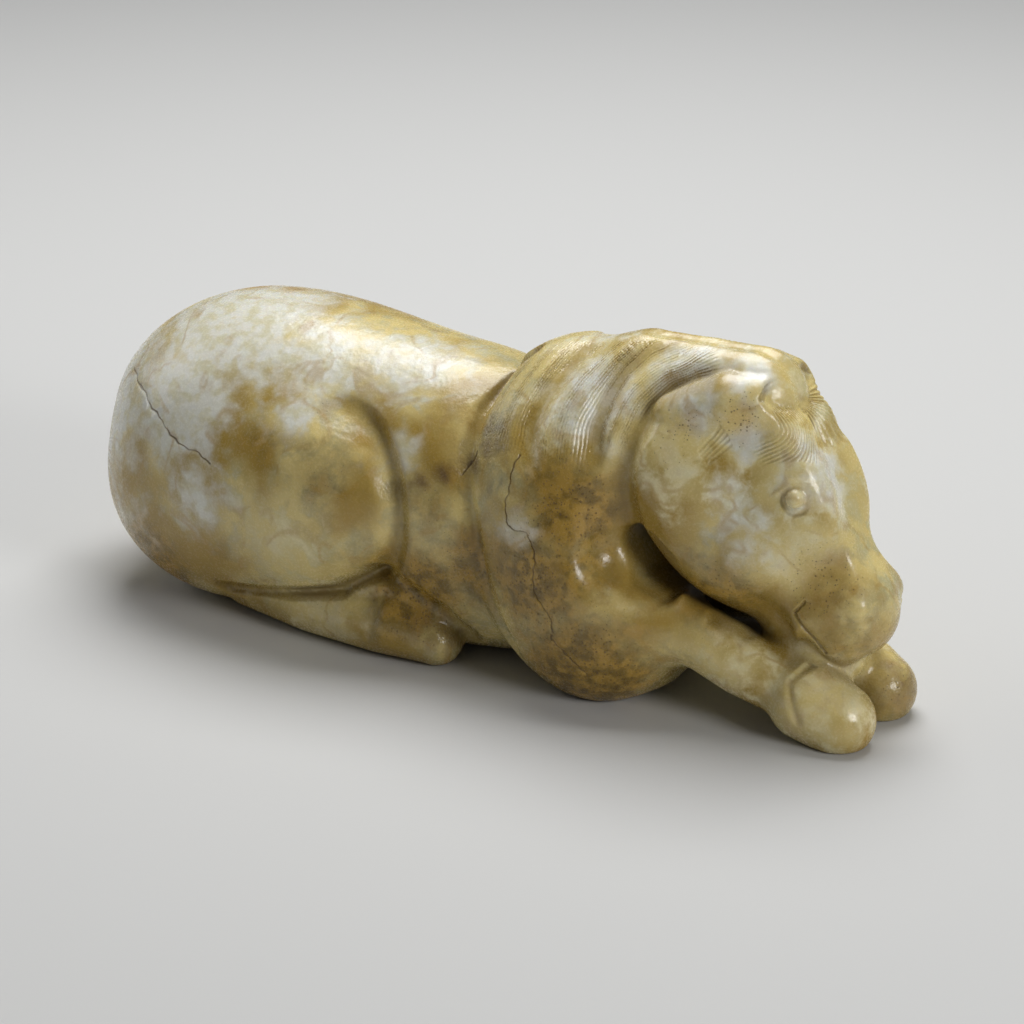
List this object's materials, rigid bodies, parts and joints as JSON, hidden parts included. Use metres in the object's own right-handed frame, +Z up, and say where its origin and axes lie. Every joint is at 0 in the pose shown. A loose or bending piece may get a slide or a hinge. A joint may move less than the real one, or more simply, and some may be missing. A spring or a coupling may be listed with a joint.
{
  "type": "jade horse figure",
  "caption": "Hand-sized recumbent horse carved in the round from one pebble of jade, legs folded under, head lowered onto the forelegs.",
  "frame": {"origin": "middle of the bounding box's underside, on the ground plane", "axes": "+X from the rump to the muzzle, +Y to the horse's left, +Z up"},
  "size_m": [0.112, 0.042, 0.044],
  "materials": {
    "jade": "polished, slightly translucent, clouded pale green and cream with russet veins and brown pits"
  },
  "bodies": {
    "root": {"horse_figure": "jade"}
  },
  "joints": []
}
